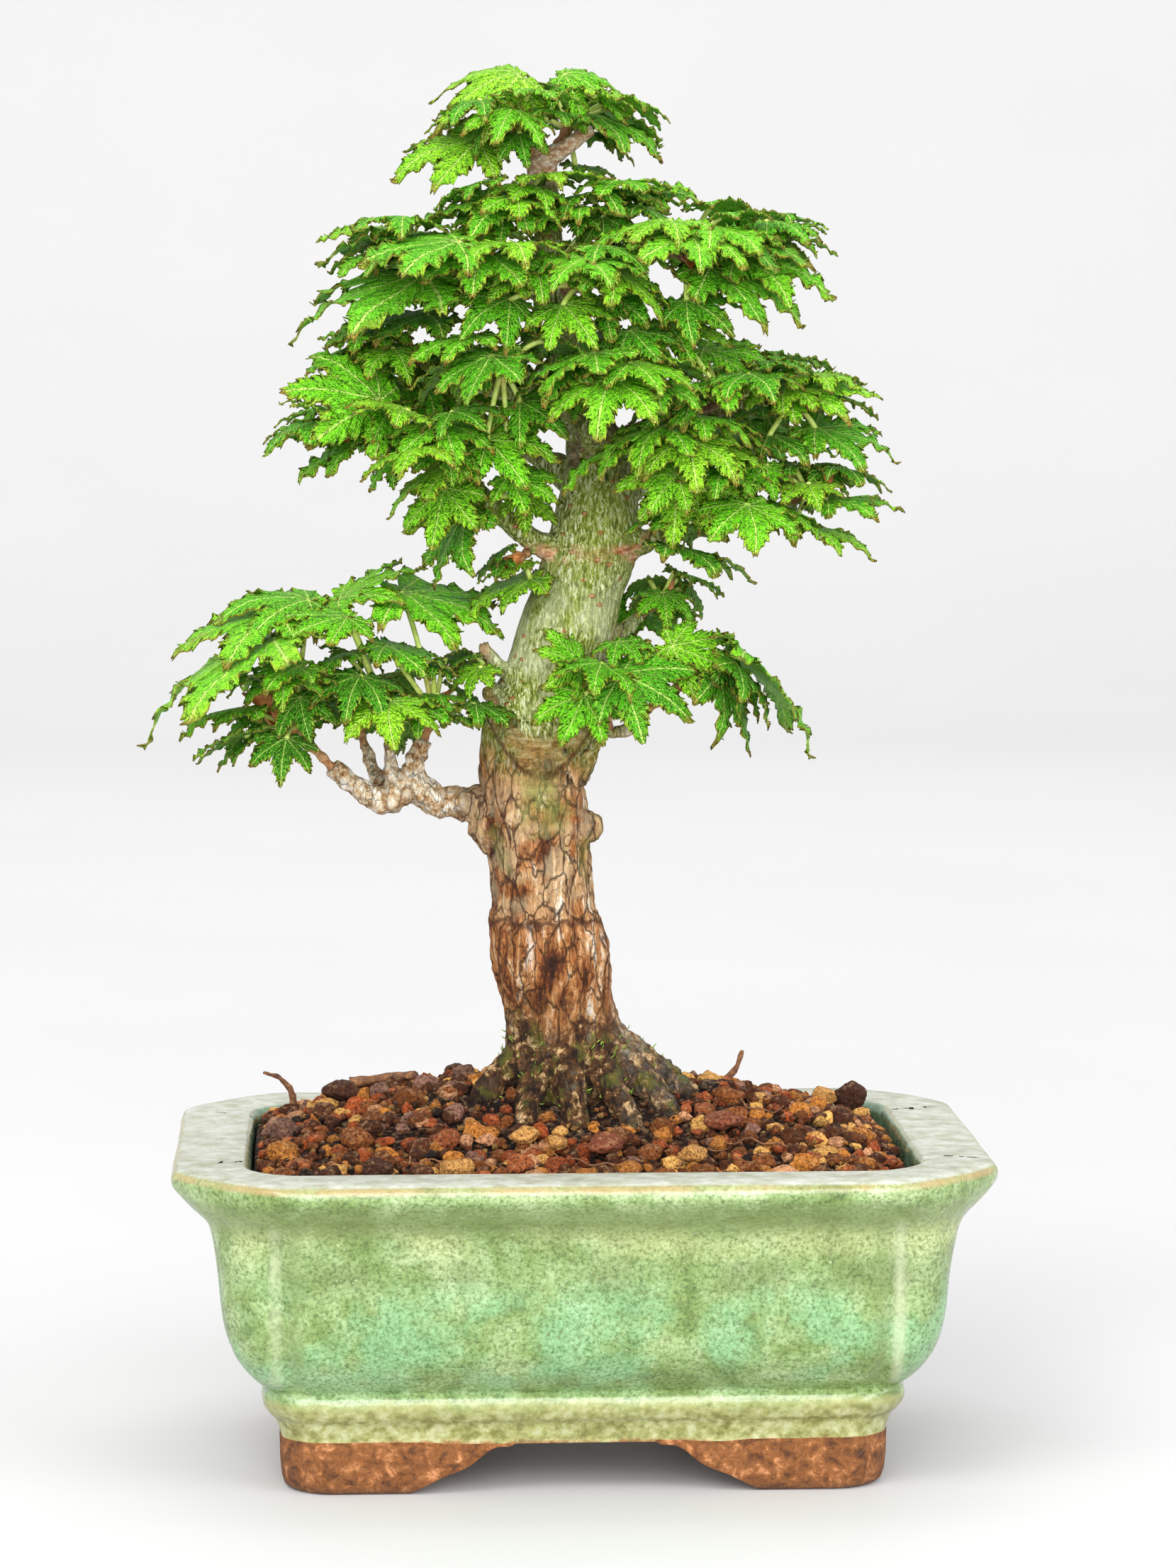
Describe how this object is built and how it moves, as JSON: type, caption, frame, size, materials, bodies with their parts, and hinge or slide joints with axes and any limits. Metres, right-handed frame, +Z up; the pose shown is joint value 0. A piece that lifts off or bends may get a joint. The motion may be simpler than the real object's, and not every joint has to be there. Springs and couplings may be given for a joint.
{
  "type": "bonsai tree in a pot",
  "caption": "Small maple bonsai with a gently curved trunk, layered leafy crown and coarse grit soil, in a glazed rectangular pot on corner feet.",
  "frame": {"origin": "on the surface the pot stands on, at the middle of the whole object's bounding box; the pot's centre is 3.5 mm to +X of it", "axes": "+X to the right of the pot's long front face, +Y to the back, +Z up"},
  "size_m": [0.1679, 0.1138, 0.276],
  "materials": {
    "celadon_glaze": "glossy crackle glaze, bare reddish clay on the feet",
    "screen_plastic": "matte black net",
    "soil_grains": "loose coarse mineral grains, damp",
    "maple_bark": "flaking tan bark below, smooth grey-green bark above",
    "maple_leaf": "crinkled fresh green leaves with yellow-brown margins",
    "lava_brown": "rough pitted grain",
    "lava_red": "rough pitted grain",
    "pumice_tan": "rough grain",
    "dry_wood": "dry bark and twigs"
  },
  "bodies": {
    "root": {"bark_chip": "dry_wood", "drainage_screen_left": "screen_plastic", "drainage_screen_right": "screen_plastic", "dry_twig_left": "dry_wood", "dry_twig_right": "dry_wood", "lava_back_right": "lava_brown", "lava_front": "lava_red", "lava_front_left": "lava_brown", "lava_left": "lava_brown", "lava_right": "lava_red", "pot": "celadon_glaze", "pumice_back_right": "pumice_tan", "pumice_front_left": "pumice_tan", "pumice_right": "pumice_tan", "pumice_root_front": "pumice_tan", "pumice_root_left": "pumice_tan", "shoot_back": "maple_leaf", "shoot_back_middle": "maple_leaf", "shoot_bud_left": "maple_leaf", "shoot_centre_front": "maple_leaf", "shoot_centre_left_front": "maple_leaf", "shoot_centre_right_front": "maple_leaf", "shoot_crown_back": "maple_leaf", "shoot_crown_front": "maple_leaf", "shoot_crown_inner": "maple_leaf", "shoot_crown_inner_right": "maple_leaf", "shoot_crown_left": "maple_leaf", "shoot_crown_left_back": "maple_leaf", "shoot_crown_left_front": "maple_leaf", "shoot_crown_right": "maple_leaf", "shoot_crown_right_back": "maple_leaf", "shoot_crown_right_front": "maple_leaf", "shoot_left_back": "maple_leaf", "shoot_left_front": "maple_leaf", "shoot_left_hanging": "maple_leaf", "shoot_left_low": "maple_leaf", "shoot_left_tip": "maple_leaf", "shoot_left_upper": "maple_leaf", "shoot_lowest_back": "maple_leaf", "shoot_lowest_inner": "maple_leaf", "shoot_lowest_middle": "maple_leaf", "shoot_lowest_tip": "maple_leaf", "shoot_right_back": "maple_leaf", "shoot_right_inner": "maple_leaf", "shoot_right_low": "maple_leaf", "shoot_right_low_front": "maple_leaf", "shoot_right_tip": "maple_leaf", "shoot_right_upper": "maple_leaf", "shoot_top_back": "maple_leaf", "shoot_top_front": "maple_leaf", "shoot_trunk_back": "maple_leaf", "shoot_trunk_front": "maple_leaf", "shoot_trunk_right": "maple_leaf", "soil": "soil_grains", "tree_wood": "maple_bark"}
  },
  "joints": []
}
